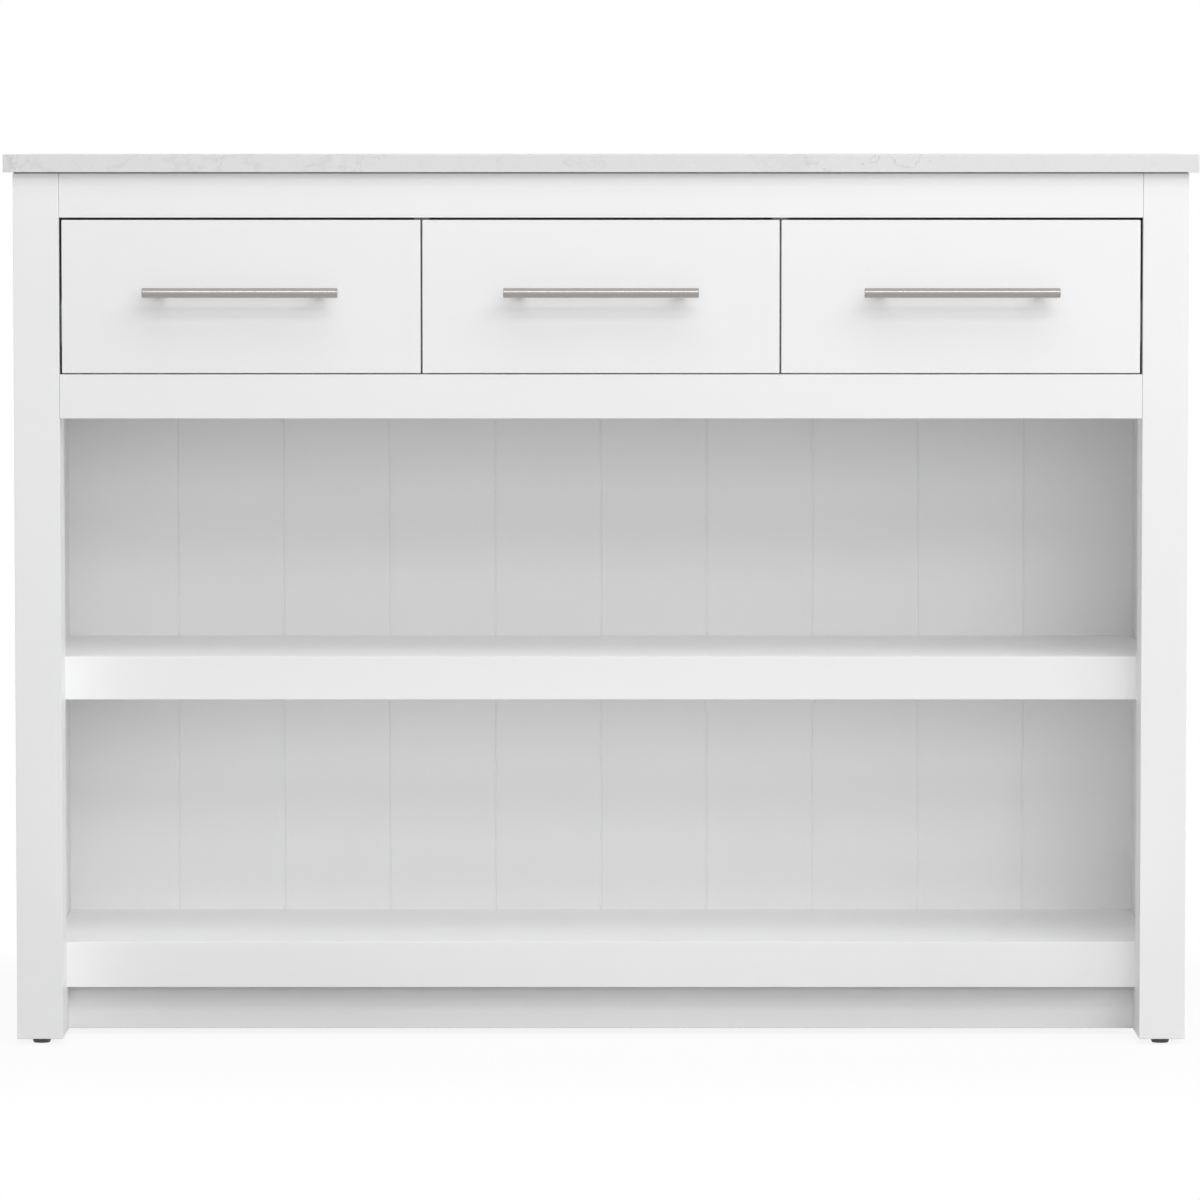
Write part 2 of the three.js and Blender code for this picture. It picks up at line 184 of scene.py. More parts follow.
def blank_material(name):
    """An empty node tree with a Principled shader wired to its output."""
    material = bpy.data.materials.new(name)
    material.use_nodes = True
    tree = material.node_tree
    tree.nodes.clear()
    out = tree.nodes.new("ShaderNodeOutputMaterial")
    shader = tree.nodes.new("ShaderNodeBsdfPrincipled")
    wire(tree, shader.outputs["BSDF"], out.inputs["Surface"])
    return material, tree, shader


def add(tree, kind, inputs=None, **settings):
    """Adds a node, sets its properties, and sets or links its inputs by name or place."""
    node = tree.nodes.new("ShaderNode" + kind)
    for key, value in settings.items():
        setattr(node, key, value)
    for key, value in (inputs or {}).items():
        if isinstance(value, bpy.types.NodeSocket):
            wire(tree, value, node.inputs[key])
        else:
            node.inputs[key].default_value = value
    return node


def place_of(tree, scale=(1, 1, 1)):
    """The surface point in the object's own frame, in metres, stretched by scale."""
    coordinates = add(tree, "TexCoord")
    mapping = add(tree, "Mapping", {"Vector": coordinates.outputs["Object"], "Scale": scale})
    return mapping.outputs["Vector"]


def noise(tree, vector, scale, detail=2.0, roughness=0.5, distortion=0.0):
    node = add(
        tree,
        "TexNoise",
        {
            "Vector": vector,
            "Scale": scale,
            "Detail": detail,
            "Roughness": roughness,
            "Distortion": distortion,
        },
    )
    return node.outputs["Fac"]


def spread(tree, value, low, high, out_low=0.0, out_high=1.0, kind="LINEAR"):
    node = add(
        tree,
        "MapRange",
        {
            "Value": value,
            "From Min": low,
            "From Max": high,
            "To Min": out_low,
            "To Max": out_high,
        },
        interpolation_type=kind,
    )
    return node.outputs["Result"]


def math_node(tree, operation, first, second=0.0):
    node = add(tree, "Math", {0: first, 1: second}, operation=operation)
    return node.outputs["Value"]


def vector_node(tree, operation, first, second=(0.0, 0.0, 0.0), result="Vector"):
    node = add(tree, "VectorMath", {0: first, 1: second}, operation=operation)
    return node.outputs[result]


def blend_colours(tree, factor, first, second):
    node = add(tree, "Mix", {"Factor": factor}, data_type="RGBA")
    for socket, value in (("A_Color", first), ("B_Color", second)):
        found = next(s for s in node.inputs if s.identifier == socket)
        if isinstance(value, bpy.types.NodeSocket):
            wire(tree, value, found)
        else:
            found.default_value = (*value, 1.0)
    return next(s for s in node.outputs if s.identifier == "Result_Color")


def two_tones(tree, value, low, high, first, second):
    """A colour that goes from first to second as value goes from low to high."""
    return blend_colours(tree, spread(tree, value, low, high), first, second)


def bump(tree, shader, height, strength, distance, under=None):
    inputs = {"Height": height, "Strength": strength, "Distance": distance}
    if under is not None:
        inputs["Normal"] = under
    node = add(tree, "Bump", inputs)
    wire(tree, node.outputs["Normal"], shader.inputs["Normal"])
    return node.outputs["Normal"]


# ---- materials -------------------------------------------------------------------------------


def painted_board():
    """Sprayed satin paint on board: near white, a fine orange peel, barely uneven gloss."""
    material, tree, shader = blank_material("painted_board")
    at = place_of(tree)
    cloud = noise(tree, at, 2.5, detail=3.0)
    colour = two_tones(tree, cloud, 0.35, 0.65, (0.96, 0.96, 0.962), (0.97, 0.97, 0.972))
    wire(tree, colour, shader.inputs["Base Color"])
    gloss = noise(tree, at, 28.0, detail=2.0)
    wire(tree, spread(tree, gloss, 0.3, 0.7, 0.34, 0.42), shader.inputs["Roughness"])
    peel = noise(tree, at, 650.0, detail=1.0)
    first = bump(tree, shader, peel, 0.10, 0.0002)
    wave = noise(tree, at, 45.0, detail=1.0)
    bump(tree, shader, wave, 0.06, 0.0008, under=first)
    return material


def drawer_board():
    """White faced board of the drawer bottoms and backs, with a fine pressed grain."""
    material, tree, shader = blank_material("drawer_board")
    at = place_of(tree, (1, 0.06, 1))
    grain = noise(tree, at, 700.0, detail=3.0, roughness=0.6)
    colour = two_tones(tree, grain, 0.3, 0.7, (0.76, 0.76, 0.76), (0.80, 0.80, 0.80))
    wire(tree, colour, shader.inputs["Base Color"])
    wire(tree, spread(tree, grain, 0.3, 0.7, 0.45, 0.6), shader.inputs["Roughness"])
    bump(tree, shader, grain, 0.2, 0.0001)
    return material


def stone_top():
    """Honed engineered stone: pale, with fine flecks and a few faint wandering grey veins."""
    material, tree, shader = blank_material("stone_top")
    at = place_of(tree)
    drift = noise(tree, at, 1.6, detail=4.0)
    ground = two_tones(tree, drift, 0.3, 0.7, (0.785, 0.785, 0.78), (0.82, 0.82, 0.815))

    cells = add(tree, "TexVoronoi", {"Vector": at, "Scale": 420.0}, feature="F1")
    tone = add(tree, "SeparateColor", {"Color": cells.outputs["Color"]}).outputs["Red"]
    for low, high, most, fleck in (
        (0.82, 1.0, 0.12, (0.68, 0.68, 0.67)),
        (0.22, 0.0, 0.11, (0.93, 0.93, 0.93)),
    ):
        ground = blend_colours(tree, spread(tree, tone, low, high, 0.0, most), ground, fleck)

    def vein(scale, width, distortion, patch_scale, low, high):
        field = noise(tree, at, scale, detail=7.0, roughness=0.62, distortion=distortion)
        off = math_node(tree, "ABSOLUTE", math_node(tree, "SUBTRACT", field, 0.5))
        line = spread(tree, off, 0.0, width, 1.0, 0.0, kind="SMOOTHSTEP")
        patch = spread(tree, noise(tree, at, patch_scale, detail=1.0), low, high)
        return math_node(tree, "MULTIPLY", line, patch)

    broad = math_node(tree, "MULTIPLY", vein(2.3, 0.020, 1.4, 3.1, 0.44, 0.60), 0.20)
    ground = blend_colours(tree, broad, ground, (0.58, 0.57, 0.56))
    fine = math_node(tree, "MULTIPLY", vein(9.0, 0.010, 0.9, 7.0, 0.47, 0.58), 0.38)
    ground = blend_colours(tree, fine, ground, (0.50, 0.49, 0.48))
    wire(tree, ground, shader.inputs["Base Color"])
    wire(tree, spread(tree, drift, 0.3, 0.7, 0.24, 0.32), shader.inputs["Roughness"])
    bump(tree, shader, noise(tree, at, 260.0, detail=2.0), 0.03, 0.0001)
    return material


def brushed_steel():
    """Stainless bar, brushed along its length."""
    material, tree, shader = blank_material("handle_steel")
    at = place_of(tree, (0.004, 1, 1))
    lines = noise(tree, at, 2600.0, detail=3.0, roughness=0.7)
    colour = two_tones(tree, lines, 0.3, 0.7, (0.425, 0.398, 0.378), (0.475, 0.448, 0.427))
    wire(tree, colour, shader.inputs["Base Color"])
    wire(tree, spread(tree, lines, 0.25, 0.75, 0.11, 0.16), shader.inputs["Roughness"])
    shader.inputs["Metallic"].default_value = 1.0
    bump(tree, shader, lines, 0.06, 0.00003)
    return material


def zinc_steel():
    """Bright zinc plate on the folded runner members."""
    material, tree, shader = blank_material("runner_steel")
    at = place_of(tree)
    spangle = add(tree, "TexVoronoi", {"Vector": at, "Scale": 260.0}, feature="F1")
    tone = add(tree, "SeparateColor", {"Color": spangle.outputs["Color"]}).outputs["Green"]
    cloud = noise(tree, at, 40.0, detail=3.0)
    colour = two_tones(tree, cloud, 0.3, 0.7, (0.52, 0.53, 0.55), (0.64, 0.65, 0.67))
    wire(tree, colour, shader.inputs["Base Color"])
    wire(tree, spread(tree, tone, 0.0, 1.0, 0.27, 0.36), shader.inputs["Roughness"])
    shader.inputs["Metallic"].default_value = 1.0
    return material


def coated_steel():
    """Light grey powder coat on the drawer sides."""
    material, tree, shader = blank_material("drawer_side_steel")
    at = place_of(tree)
    grit = noise(tree, at, 1500.0, detail=2.0)
    colour = two_tones(tree, grit, 0.3, 0.7, (0.47, 0.48, 0.49), (0.52, 0.53, 0.54))
    wire(tree, colour, shader.inputs["Base Color"])
    wire(tree, spread(tree, grit, 0.3, 0.7, 0.42, 0.54), shader.inputs["Roughness"])
    shader.inputs["Metallic"].default_value = 0.35
    bump(tree, shader, grit, 0.15, 0.00008)
    return material


def glide_plastic():
    """Dark moulded plastic with a spark-eroded grain."""
    material, tree, shader = blank_material("glide_plastic")
    at = place_of(tree)
    grit = noise(tree, at, 1800.0, detail=2.0)
    colour = two_tones(tree, grit, 0.3, 0.7, (0.185, 0.186, 0.190), (0.225, 0.226, 0.231))
    wire(tree, colour, shader.inputs["Base Color"])
    wire(tree, spread(tree, grit, 0.3, 0.7, 0.45, 0.62), shader.inputs["Roughness"])
    bump(tree, shader, grit, 0.2, 0.00008)
    return material


def sealant_and_painted_shade():
    """Matt cured sealant, coloured near black so that it also paints the shade in the gap under the
    slab.
    """
    material, tree, shader = blank_material("bedding_sealant")
    at = place_of(tree)
    skin = noise(tree, at, 300.0, detail=2.0)
    # painted shade: this near-black colour is partly the sealant's own dark tone and partly stands
    # in for the shade of the gap under the worktop
    colour = two_tones(tree, skin, 0.3, 0.7, (0.018, 0.017, 0.019), (0.030, 0.028, 0.031))
    wire(tree, colour, shader.inputs["Base Color"])
    wire(tree, spread(tree, skin, 0.3, 0.7, 0.7, 0.85), shader.inputs["Roughness"])
    bump(tree, shader, skin, 0.2, 0.0002)
    return material


MATERIALS = {
    "painted_board": painted_board(),
    "drawer_board": drawer_board(),
    "stone_top": stone_top(),
    "handle_steel": brushed_steel(),
    "runner_steel": zinc_steel(),
    "drawer_side_steel": coated_steel(),
    "glide_plastic": glide_plastic(),
    "bedding_sealant": sealant_and_painted_shade(),
}


# ---- carried-over boards ---------------------------------------------------------------------


def geometry_group(name):
    """A geometry node group that takes and gives geometry, with the sockets of both ends."""
    group = bpy.data.node_groups.new(name, "GeometryNodeTree")
    for way in ("INPUT", "OUTPUT"):
        group.interface.new_socket("Geometry", in_out=way, socket_type="NodeSocketGeometry")
    start = group.nodes.new("NodeGroupInput")
    end = group.nodes.new("NodeGroupOutput")
    return group, start.outputs[0], end.inputs[0]


def drop_normals_group():
    """Drops the imported shading normals, which no longer fit once an edge is eased."""
    group, start, end = geometry_group("drop_shading_normals")
    drop = group.nodes.new("GeometryNodeRemoveAttribute")
    drop.inputs["Name"].default_value = "custom_normal"
    wire(group, start, drop.inputs["Geometry"])
    wire(group, drop.outputs["Geometry"], end)
    return group


DROP_NORMALS = drop_normals_group()


def short_ends_group(name, axis, low, high):
    """Brings a board's two ends in to low and high along an axis, which leaves fine open joints."""
    group, start, end = geometry_group(name)
    position = group.nodes.new("GeometryNodeInputPosition").outputs["Position"]
    apart = add(group, "SeparateXYZ", {"Vector": position})
    limit = add(group, "Clamp", {"Value": apart.outputs[axis], "Min": low, "Max": high})
    places = {each: apart.outputs[each] for each in "XYZ"}
    places[axis] = limit.outputs["Result"]
    together = add(group, "CombineXYZ", places)
    move = group.nodes.new("GeometryNodeSetPosition")
    wire(group, start, move.inputs["Geometry"])
    wire(group, together.outputs["Vector"], move.inputs["Position"])
    wire(group, move.outputs["Geometry"], end)
    return group


def open_joints():
    """Rails butt against the posts: along X at the front and back, along Y at the sides."""
    across = ("front_top_rail", "drawer_rail", "back_top_rail", "back_bottom_rail")
    rails = [(name, "X") for name in across]
    rails += [(f"{side}_{place}_rail", "Y") for side, _ in SIDES for place in ("top", "bottom")]
    for name, axis in rails:
        low, high = (getattr(corner, axis.lower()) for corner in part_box(name))
        step = NODES[name].modifiers.new("short_ends", "NODES")
        step.node_group = short_ends_group(name + "_ends", axis, low + HAIRLINE, high - HAIRLINE)


def ease_edges(node, width, segments=3):
    """Rounds a board's arrises without touching its own mesh."""
    obj = NODES[node]
    obj.modifiers.new("plain_normals", "NODES").node_group = DROP_NORMALS
    weld = obj.modifiers.new("weld", "WELD")
    weld.merge_threshold = 1e-5
    bevel(obj, width, segments)


def bevel(obj, width, segments, sharper_than=30):
    eased = obj.modifiers.new("eased", "BEVEL")
    eased.width = width
    eased.segments = segments
    eased.limit_method = "ANGLE"
    eased.angle_limit = math.radians(sharper_than)


def finish_boards():
    open_joints()
    slots = {part["node"]: part["material_slot"] for part in frame["record"]["subparts"]}
    for name, obj in NODES.items():
        obj.data.materials.clear()
        obj.data.materials.append(MATERIALS[slots[name]])
        if name == "worktop":
            ease_edges(name, EASED_WORKTOP)
        elif name == "back_panel":
            ease_edges(name, EASED_PANEL, segments=1)
        elif name.endswith("_front"):
            ease_edges(name, EASED_FRONT)
        elif slots[name] in ("painted_board", "drawer_board"):
            ease_edges(name, EASED_BOARD)


# ---- shapes ----------------------------------------------------------------------------------


def as_mesh(name, shape):
    """A mesh of a shape, which is used up."""
    mesh = bpy.data.meshes.new(name)
    shape.to_mesh(mesh)
    shape.free()
    return mesh


def link_object(name, data):
    obj = bpy.data.objects.new(name, data)
    bpy.context.scene.collection.objects.link(obj)
    return obj


def add_walls(work, rings):
    """Faces between each ring of vertices and the next."""
    for low, high in zip(rings, rings[1:]):
        for k in range(len(low)):
            n = (k + 1) % len(low)
            work.faces.new((low[k], low[n], high[n], high[k]))


def prism(outline, along, start, end):
    """A closed body with that outline, which is drawn in the other two axes, in x, y, z order."""
    work = bmesh.new()

    def ring(w):
        verts = []
        for a, b in outline:
            spot = [a, b]
            spot.insert("XYZ".index(along), w)
            verts.append(work.verts.new(spot))
        return verts

    low, high = ring(start), ring(end)
    add_walls(work, [low, high])
    work.faces.new(low)
    work.faces.new(high)
    bmesh.ops.recalc_face_normals(work, faces=work.faces)
    return work


def turned(profile, segments=32):
    """A closed body of revolution about Z. profile holds (height, radius) from the bottom up."""
    work = bmesh.new()
    angles = [2 * math.pi * k / segments for k in range(segments)]
    rings = []
    for height, radius in profile:
        spots = [(radius * math.cos(a), radius * math.sin(a), height) for a in angles]
        rings.append([work.verts.new(spot) for spot in spots])
    add_walls(work, rings)
    work.faces.new(list(reversed(rings[0])))
    work.faces.new(rings[-1])
    return work


def arc(centre, radius, start, end, steps=5):
    """Points on an arc, with the angles in degrees."""
    angles = [math.radians(start + (end - start) * k / steps) for k in range(steps + 1)]
    return [(centre[0] + radius * math.cos(a), centre[1] + radius * math.sin(a)) for a in angles]


def thickened(path, thick):
    """The outline of a bent strip whose middle line is path."""
    offsets = []
    for k in range(len(path)):
        before, after = path[max(k - 1, 0)], path[min(k + 1, len(path) - 1)]
        ahead = Vector((after[0] - before[0], after[1] - before[1])).normalized()
        offsets.append(Vector((-ahead.y, ahead.x)) * thick / 2)
    left = [(p[0] + o.x, p[1] + o.y) for p, o in zip(path, offsets)]
    right = [(p[0] - o.x, p[1] - o.y) for p, o in zip(path, offsets)]
    return left + right[::-1]


def stadium(centre, length, width):
    """The outline of a slot with round ends, long in its first axis."""
    reach = (length - width) / 2
    far = arc((centre[0] + reach, centre[1]), width / 2, -90, 90, 10)
    near = arc((centre[0] - reach, centre[1]), width / 2, 90, 270, 10)
    return far + near if reach > 0 else far + near[1:-1]


def cut(body, tools):
    """body less tools, which lie apart from each other. All of them are used up."""
    joined = bmesh.new()
    for tool in tools:
        mesh = as_mesh("tool", tool)
        joined.from_mesh(mesh)
        bpy.data.meshes.remove(mesh)
    holder, cutter = (link_object("shape", as_mesh("shape", each)) for each in (body, joined))
    step = holder.modifiers.new("cut", "BOOLEAN")
    step.operation = "DIFFERENCE"
    step.solver = "EXACT"
    step.object = cutter
    bpy.context.view_layer.update()
    result = bmesh.new()
    result.from_object(holder, bpy.context.evaluated_depsgraph_get())
    for obj in (holder, cutter):
        bpy.data.meshes.remove(obj.data)
    return result


def placed(shape, matrix):
    """A copy of a shape, moved by a matrix that may mirror it."""
    copy = shape.copy()
    copy.transform(matrix)
    if matrix.determinant() < 0:
        bmesh.ops.reverse_faces(copy, faces=copy.faces)
    return copy


def aimed(place, axis):
    """Turns +Z to axis and moves the origin to place."""
    turn = Vector((0, 0, 1)).rotation_difference(Vector(axis)).to_matrix().to_4x4()
    return Matrix.Translation(place) @ turn


def facing(place, sign):
    """Moves the origin to place, with the local +X towards sign."""
    return Matrix.Translation(place) @ Matrix.Diagonal((sign, 1, 1, 1))


def new_piece(name, shape, slot, body, replaced=()):
    """Shows a shape as a piece that rides on a body. The shape is used up."""
    mesh = as_mesh(name, shape)
    for polygon in mesh.polygons:
        polygon.use_smooth = True
    mesh.set_sharp_from_angle(angle=math.radians(SHARP_ANGLE))
    piece = link_object(name, mesh)
    mesh.materials.append(MATERIALS[slot])
    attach(piece, body)
    if replaced:
        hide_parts(*replaced)
    return piece


# ---- screws ----------------------------------------------------------------------------------


def cross_pocket(reach, arm, top, bottom):
    """The tapering cross socket of a screw head, as a body to cut out."""
    work = bmesh.new()
    rings = []
    for height, size in ((top, 1.0), (bottom, 0.62)):
        r, a = reach * size, arm * size / 2
        corner = [(r, -a), (r, a), (a, a)]
        outline = []
        for quarter in range(4):
            turn = Matrix.Rotation(quarter * math.pi / 2, 2)
            outline += [turn @ Vector(p) for p in corner]
        rings.append([work.verts.new((p.x, p.y, height)) for p in outline])
    high, low = rings
    add_walls(work, [low, high])
    work.faces.new(low)
    work.faces.new(high)
    bmesh.ops.recalc_face_normals(work, faces=work.faces)
    return work


def pan_head(radius, height):
    """A domed head that stands on z = 0."""
    wall = 0.35 * height
    rise = height - wall
    dome = [(wall + rise * math.sin(a), radius * math.cos(a)) for a in (0.0, 0.35, 0.7, 1.05)]
    profile = [(0.0, radius * 0.97), (0.0001, radius), *dome, (height, radius * 0.34)]
    pocket = cross_pocket(radius * 0.55, radius * 0.28, height + 0.0002, height * 0.35)
    return cut(turned(profile), [pocket])


def flat_head(radius, height):
    """A countersunk head whose face is on z = height."""
    profile = [(0.0, radius * 0.6), (height - 0.0002, radius), (height, radius - 0.0001)]
    pocket = cross_pocket(radius * 0.55, radius * 0.28, height + 0.0002, height * 0.3)
    return cut(turned(profile), [pocket])


PAN_HEAD = pan_head(HEAD_RADIUS, PAN_HEAD_HEIGHT)
FLAT_HEAD = flat_head(HEAD_RADIUS, RUNNER_SHEET)


# ---- handles and glides ----------------------------------------------------------------------


def add_handle(drawer):
    """A bar on two legs, whose screws and washers are inside the drawer front."""
    node = drawer + "_handle"
    low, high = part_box(node)
    axis_y = low.y + BAR_RADIUS
    axis_z = (low.z + high.z) / 2
    length = high.x - low.x
    near = [
        (BAR_CHAMFER * (1 - math.cos(a)), BAR_RADIUS - BAR_CHAMFER * (1 - math.sin(a)))
        for a in (0, 0.4, 0.8, 1.2, 1.57)
    ]
    far = [(length - along, radius) for along, radius in reversed(near)]
    bar = turned(near + far, 64)
    bar.transform(aimed(Vector((low.x, axis_y, axis_z)), (1, 0, 0)))
    new_piece(drawer + "_handle_bar", bar, "handle_steel", drawer, [node])

    middle = (low.x + high.x) / 2
    reach = high.y - axis_y
    leg_end = [(reach - LEG_CHAMFER, LEG_RADIUS), (reach, LEG_RADIUS - LEG_CHAMFER)]
    washer_end = [
        (WASHER_THICK - WASHER_CHAMFER, WASHER_RADIUS),
        (WASHER_THICK, WASHER_RADIUS - WASHER_CHAMFER),
    ]
    for side, sign in SIDES:
        leg = turned([(0.0, LEG_RADIUS), *leg_end], 48)
        x = middle + sign * LEG_SPACING / 2
        leg.transform(aimed(Vector((x, axis_y, axis_z)), (0, 1, 0)))
        new_piece(f"{drawer}_handle_{side}_leg", leg, "handle_steel", drawer, [node])

        inside = Vector((x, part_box(drawer + "_front")[1].y, axis_z))
        washer = turned([(0.0, WASHER_RADIUS), *washer_end])
        washer.transform(aimed(inside, (0, 1, 0)))
        new_piece(f"{drawer}_handle_{side}_washer", washer, "runner_steel", drawer)
        screw = placed(PAN_HEAD, aimed(inside + Vector((0, WASHER_THICK, 0)), (0, 1, 0)))
        new_piece(f"{drawer}_handle_{side}_screw", screw, "runner_steel", drawer)


def add_glides():
    for end in ENDS:
        for side, _ in SIDES:
            node = f"{end}_{side}_glide"
            low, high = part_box(node)
            top = (high.x - low.x) / 2
            height = high.z - low.z
            foot = arc((GLIDE_RIM, GLIDE_FOOT_RADIUS - GLIDE_RIM), GLIDE_RIM, 180, 100)
            profile = foot + [(height - GLIDE_NECK, top), (height, top)]
            centre = Vector(((low.x + high.x) / 2, (low.y + high.y) / 2, low.z))
            glide = turned(profile, 48)
            glide.transform(Matrix.Translation(centre))
            new_piece(node + "_moulded", glide, "glide_plastic", "carcass", [node])


# ---- runners ---------------------------------------------------------------------------------


def channel_outline(height, depth):
    """A rolled channel's section in (x, z), with the back of its web on x = 0 and arched lips."""
    half = (height - RUNNER_SHEET) / 2
    first = RUNNER_SHEET / 2 + RUNNER_BEND
    lip = []
    for k in range(7):
        t = k / 6
        lip.append((first + t * (depth - first), half - LIP_ARCH * (2 * t - 1) ** 2))
    corner = arc((first, half - LIP_ARCH - RUNNER_BEND), RUNNER_BEND, 180, 90)
    upper = corner[:-1] + lip
    lower = [(x, -z) for x, z in reversed(upper)]
    return thickened(lower + upper, RUNNER_SHEET)


def runner_member(section, openings):
    """A channel with openings along the middle of its web."""
    tools = []
    for places, length, width in openings:
        tools += [prism(stadium((y, 0.0), length, width), "X", *HOLE_TOOL) for y in places]
    return cut(prism(channel_outline(*section), "Y", 0.0, RUNNER_LENGTH), tools)


def release_lever():
    """A slim curved strip with an eye at one end and a finger tab at the other, in (y, z)."""
    upper, lower = [], []
    steps = 48
    for k in range(steps + 1):
        t = (k + 0.4) / (steps + 0.8)
        tab = 0.0026 * math.exp(-(((t - 0.92) / 0.06) ** 2))
        eye = 0.0020 * math.exp(-(((t - 0.06) / 0.05) ** 2))
        round_end = math.sqrt(1 - max(0.0, 1 - min(t, 1 - t) / 0.05) ** 2)
        half = (0.0014 + tab + eye) * round_end
        middle = 0.0030 * math.sin(2 * math.pi * t)
        upper.append((LEVER_LENGTH * t, middle + half))
        lower.append((LEVER_LENGTH * t, middle - half))
    return prism(upper + lower[::-1], "X", RUNNER_SHEET + 0.0002, RUNNER_SHEET + 0.0034)


CABINET_MEMBER = runner_member(CABINET_SECTION, CABINET_OPENINGS)
MIDDLE_MEMBER = runner_member(MIDDLE_SECTION, MIDDLE_OPENINGS)
DRAWER_MEMBER = runner_member(DRAWER_SECTION, DRAWER_OPENINGS)
RELEASE_LEVER = release_lever()


def add_runner(drawer, side, sign):
    """The cabinet member with its screws, and the middle member."""
    name = f"{drawer}_{side}_runner"
    for part, body, shape in (
        ("cabinet_member", "carcass", CABINET_MEMBER),
        ("middle_member", drawer + "_runners", MIDDLE_MEMBER),
    ):
        low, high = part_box(f"{name}_{part}")
        web = high.x if sign > 0 else low.x
        origin = Vector((web, low.y, (low.z + high.z) / 2))
        rolled = placed(shape, facing(origin, -sign))
        new_piece(f"{name}_{part}_rolled", rolled, "runner_steel", body, [f"{name}_{part}"])
        if part == "cabinet_member":
            for number, y in enumerate(CABINET_SCREWS, 1):
                screw = placed(FLAT_HEAD, aimed(origin + Vector((0, y, 0)), (-sign, 0, 0)))
                new_piece(f"{name}_cabinet_screw_{number}", screw, "runner_steel", "carcass")


def side_wall(node, sign):
    """The x of a drawer side's outer face, which the runner's drawer member stands on."""
    low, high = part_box(node)
    return high.x - DRAWER_MEMBER_REACH if sign > 0 else low.x + DRAWER_MEMBER_REACH


def add_drawer_member(drawer, side, sign):
    """The runner's drawer member with its screws and release lever."""
    low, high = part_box(f"{drawer}_{side}_runner_cabinet_member")
    node = f"{drawer}_{side}_side"
    origin = Vector((side_wall(node, sign), low.y, (low.z + high.z) / 2))
    name = f"{drawer}_{side}_runner_drawer_member"
    new_piece(name, placed(DRAWER_MEMBER, facing(origin, sign)), "runner_steel", drawer, [node])
    for number, y in enumerate(DRAWER_MEMBER_SCREWS, 1):
        spot = aimed(origin + Vector((sign * RUNNER_SHEET, y, 0)), (sign, 0, 0))
        new_piece(f"{name}_screw_{number}", placed(PAN_HEAD, spot), "runner_steel", drawer)
    lever = placed(RELEASE_LEVER, facing(origin + Vector((0, LEVER_START, 0)), sign))
    new_piece(name + "_release_lever", lever, "glide_plastic", drawer)


# ---- drawer boxes ----------------------------------------------------------------------------


def pressed_panel(ends, ramp):
    """The profile of a pressed-in panel, as (depth, z) from its lower end to its upper end."""
    low, high = ends
    rising = [(depth, low + along) for depth, along in ramp]
    return rising + [(depth, high - along) for depth, along in reversed(ramp)]


def side_outline(bottom, top):
    """A folded drawer side in (x, z): the outer face on x = 0, a rounded top, pressed-in panels
    on both faces, and the foot that the bottom board lies on."""
    edge, thick, toe, sheet = BOX_ROUNDING, BOX_SIDE_THICK, BOX_FOOT_TOE, BOX_SHEET
    outline = [(0.0, bottom)] + pressed_panel(OUTER_PANEL, OUTER_RAMP)
    outline += arc((edge, top - edge), edge, 180, 90)
    outline += arc((thick - edge, top - edge), edge, 90, 0)
    outline += [(thick - depth, z) for depth, z in reversed(pressed_panel(INNER_PANEL, INNER_RAMP))]
    outline += [(thick, bottom + sheet)]
    outline += arc((toe - sheet / 2, bottom + sheet / 2), sheet / 2, 90, -90, 6)
    return outline


def front_bracket():
    """A bent plate that ties a drawer side to the drawer front: its plan in (x, y)."""
    thick, bend = BRACKET_THICK, BRACKET_BEND
    face = BOX_SIDE_THICK - INNER_RAMP[-1][0] + thick / 2
    plan = [(BRACKET_WIDE, thick / 2), (face + bend, thick / 2)]
    plan += arc((face + bend, thick / 2 + bend), bend, 270, 180)[1:]
    plan += [(face, BRACKET_LONG)]
    size = (BRACKET_SCREW_HOLE, BRACKET_SCREW_HOLE)
    places = [(BRACKET_SCREW_ASIDE, z) for z in BRACKET_SCREW_HEIGHTS]
    holes = [prism(stadium(place, *size), "Y", *HOLE_TOOL) for place in places]
    return cut(prism(thickened(plan, thick), "Z", *BRACKET_HEIGHTS), holes)


FRONT_BRACKET = front_bracket()


def add_drawer_side(drawer, side, sign):
    """A folded side with its runner member, front bracket and screws."""
    node = f"{drawer}_{side}_side"
    low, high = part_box(node)
    wall = side_wall(node, sign)
    shape = prism(side_outline(low.z, high.z), "Y", low.y, high.y)
    sheet = placed(shape, facing((wall, 0, 0), -sign))
    shape.free()
    folded = new_piece(node + "_folded", sheet, "drawer_side_steel", drawer, [node])
    bevel(folded, EASED_SHEET, 2, sharper_than=50)
    add_drawer_member(drawer, side, sign)

    corner = facing((wall, low.y, 0), -sign)
    bracket = new_piece(node + "_bracket", placed(FRONT_BRACKET, corner), "runner_steel", drawer)
    bevel(bracket, EASED_BRACKET, 1, sharper_than=50)
    for number, z in enumerate(BRACKET_SCREW_HEIGHTS, 1):
        spot = corner @ Vector((BRACKET_SCREW_ASIDE, BRACKET_THICK, z))
        screw = placed(PAN_HEAD, aimed(spot, (0, 1, 0)))
        new_piece(f"{node}_bracket_screw_{number}", screw, "runner_steel", drawer)
    for number, z in enumerate(BACK_SCREW_HEIGHTS, 1):
        spot = corner @ Vector((0.0, high.y - low.y - BACK_SCREW_INSET, z))
        screw = placed(PAN_HEAD, aimed(spot, (sign, 0, 0)))
        new_piece(f"{node}_back_screw_{number}", screw, "runner_steel", drawer)


# ---- studio ----------------------------------------------------------------------------------


def background_rays(tree):
    """1 for the rays that should see a white background: from the camera, and in metal or glass."""
    path = add(tree, "LightPath")
    seen = math_node(tree, "ADD", path.outputs["Is Camera Ray"], path.outputs["Is Glossy Ray"])
    seen = math_node(tree, "ADD", seen, path.outputs["Is Transmission Ray"])
    return math_node(tree, "MINIMUM", seen, 1.0)


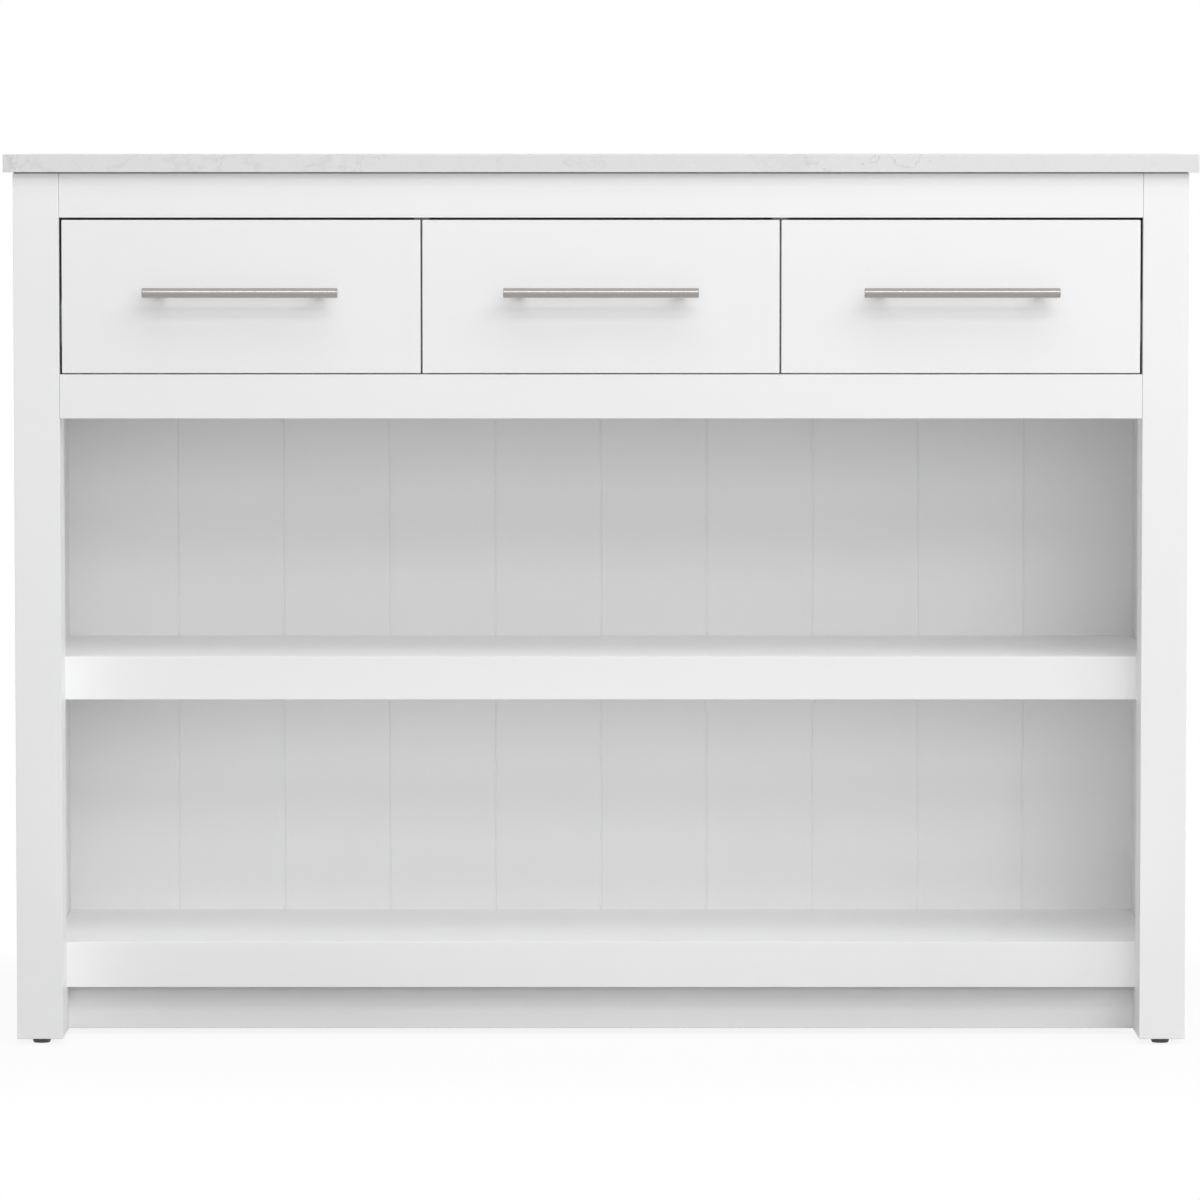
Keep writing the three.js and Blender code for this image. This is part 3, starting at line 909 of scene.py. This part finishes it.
def add_world():
    """Even light from all around, which the camera and polished surfaces see as white."""
    world = bpy.data.worlds.new("studio")
    bpy.context.scene.world = world
    world.use_nodes = True
    tree = world.node_tree
    tree.nodes.clear()
    lighting = add(tree, "Background", {"Color": (0.98, 0.985, 1.0, 1.0), "Strength": AMBIENT})
    seen = add(tree, "Background", {"Color": (1.0, 1.0, 1.0, 1.0), "Strength": 1.0})
    sources = {0: background_rays(tree), 1: lighting.outputs[0], 2: seen.outputs[0]}
    mixed = add(tree, "MixShader", sources)
    out = tree.nodes.new("ShaderNodeOutputWorld")
    wire(tree, mixed.outputs[0], out.inputs["Surface"])


def floor_material():
    """A grey floor that the camera sees as white, apart from the object's shadow near its foot."""
    material, tree, shader = blank_material("floor")
    at = place_of(tree)
    path = add(tree, "LightPath")
    seen = path.outputs["Is Camera Ray"]
    lit = two_tones(tree, noise(tree, at, 3.0), 0.3, 0.7, (0.44, 0.44, 0.44), (0.46, 0.46, 0.46))
    lit = blend_colours(tree, seen, lit, (0.96, 0.96, 0.96))
    wire(tree, lit, shader.inputs["Base Color"])
    shader.inputs["Roughness"].default_value = 0.9
    white = add(tree, "Emission", {"Color": (1.0, 1.0, 1.0, 1.0), "Strength": 1.0})
    half_size = (CAD_BOX[1][0], CAD_BOX[1][1], 1.0)
    outside = vector_node(tree, "ABSOLUTE", at)
    outside = vector_node(tree, "SUBTRACT", outside, half_size)
    outside = vector_node(tree, "MAXIMUM", outside, (0.0, 0.0, 0.0))
    distance = vector_node(tree, "LENGTH", outside, result="Value")
    whiter = spread(tree, distance, 0.02, 0.5, 0.88, 1.0, kind="SMOOTHSTEP")
    mirrored = math_node(tree, "MULTIPLY", path.outputs["Is Glossy Ray"], 0.6)
    lift = math_node(tree, "ADD", math_node(tree, "MULTIPLY", seen, whiter), mirrored)
    mixed = add(tree, "MixShader", {0: lift, 1: shader.outputs[0], 2: white.outputs[0]})
    out = next(n for n in tree.nodes if n.type == "OUTPUT_MATERIAL")
    wire(tree, mixed.outputs[0], out.inputs["Surface"])
    return material


def add_floor():
    work = bmesh.new()
    bmesh.ops.create_grid(work, x_segments=1, y_segments=1, size=FLOOR_REACH)
    floor = link_object("floor", as_mesh("floor", work))
    floor.data.materials.append(floor_material())


def add_softbox(name, place, size, power, target=STUDIO_TARGET, angle=180, reflected=False):
    """A rectangular lamp that the camera doesn't see, as LAMPS describes it."""
    azimuth, elevation, distance = math.radians(place[0]), math.radians(place[1]), place[2]
    level = math.cos(elevation)
    aside, ahead = level * math.sin(azimuth), level * math.cos(azimuth)
    towards = Vector((aside, -ahead, math.sin(elevation)))
    lamp = bpy.data.lights.new(name, "AREA")
    lamp.shape = "RECTANGLE"
    lamp.size, lamp.size_y = size
    lamp.energy = power
    lamp.spread = math.radians(angle)
    obj = link_object(name, lamp)
    obj.location = Vector(target) + distance * towards
    obj.rotation_euler = (-towards).to_track_quat("-Z", "Y").to_euler()
    obj.visible_camera = False
    obj.visible_glossy = reflected


def add_camera():
    data = bpy.data.cameras.new("camera")
    data.sensor_width = SENSOR_WIDTH
    data.lens = CAMERA_LENS
    data.clip_start = 0.1
    data.clip_end = 100.0
    camera = link_object("camera", data)
    post_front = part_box("front_left_post")[0].y
    camera.location = (CAMERA_ASIDE, post_front - CAMERA_DISTANCE, CAMERA_HEIGHT)
    camera.rotation_euler = (math.pi / 2 - CAMERA_TILT, 0.0, 0.0)
    bpy.context.scene.camera = camera


def build():
    add_camera()
    finish_boards()
    for drawer in DRAWERS:
        add_handle(drawer)
        for side, sign in SIDES:
            add_drawer_side(drawer, side, sign)
        for side, sign in SIDES:
            add_runner(drawer, side, sign)
    add_glides()
    add_floor()
    add_world()
    for name, place, size, power, unusual in LAMPS:
        add_softbox(name, place, size, power, **unusual)
    bpy.context.scene.view_settings.view_transform = "Standard"


build()
